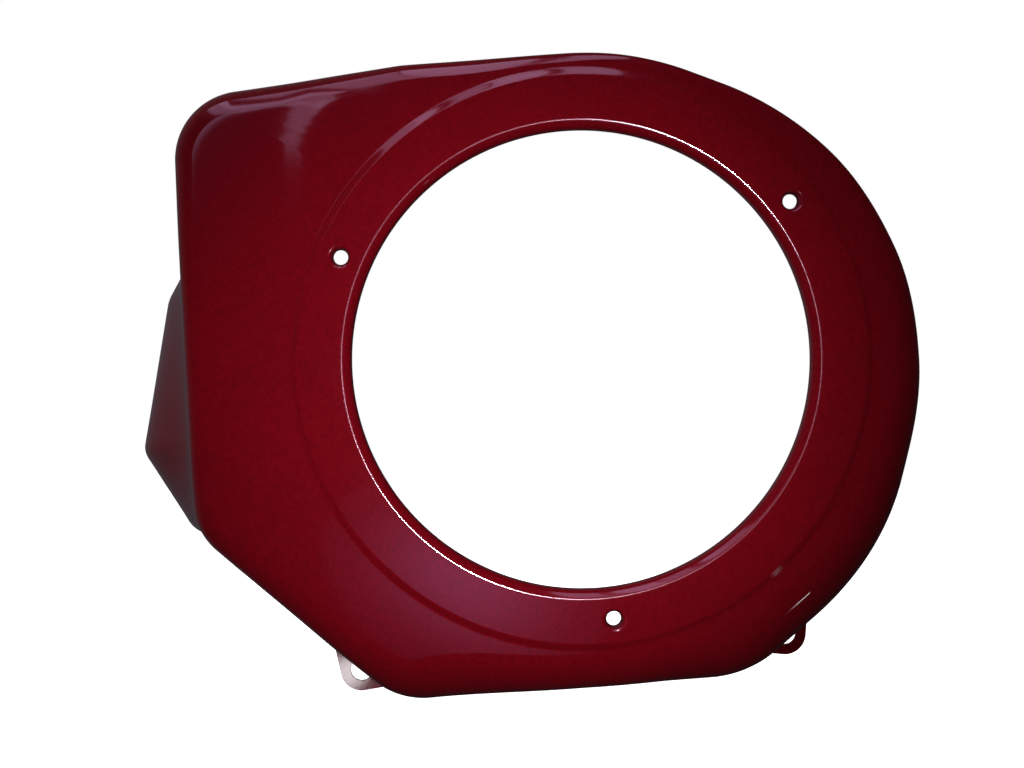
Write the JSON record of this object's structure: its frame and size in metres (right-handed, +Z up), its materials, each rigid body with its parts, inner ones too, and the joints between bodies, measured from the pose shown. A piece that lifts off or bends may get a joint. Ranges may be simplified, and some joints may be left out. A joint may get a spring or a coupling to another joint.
{
  "type": "engine fan cover",
  "caption": "Pressed sheet-steel blower housing for a small air-cooled engine: scroll-shaped shell with a large round starter opening, a raised seat, a flared side and bolt-on ears.",
  "frame": {"origin": "on the crankshaft's axis, in the plane of the cover's rear edge, where it meets the engine", "axes": "+Y along the crankshaft into the engine, so the starter's seat faces -Y; +X to the right of someone who faces the starter's seat; +Z up"},
  "size_m": [0.2864, 0.065, 0.2346],
  "materials": {
    "red_paint": "deep glossy red enamel on both sides of the sheet"
  },
  "bodies": {
    "root": {"fan_cover": "red_paint"}
  },
  "joints": []
}
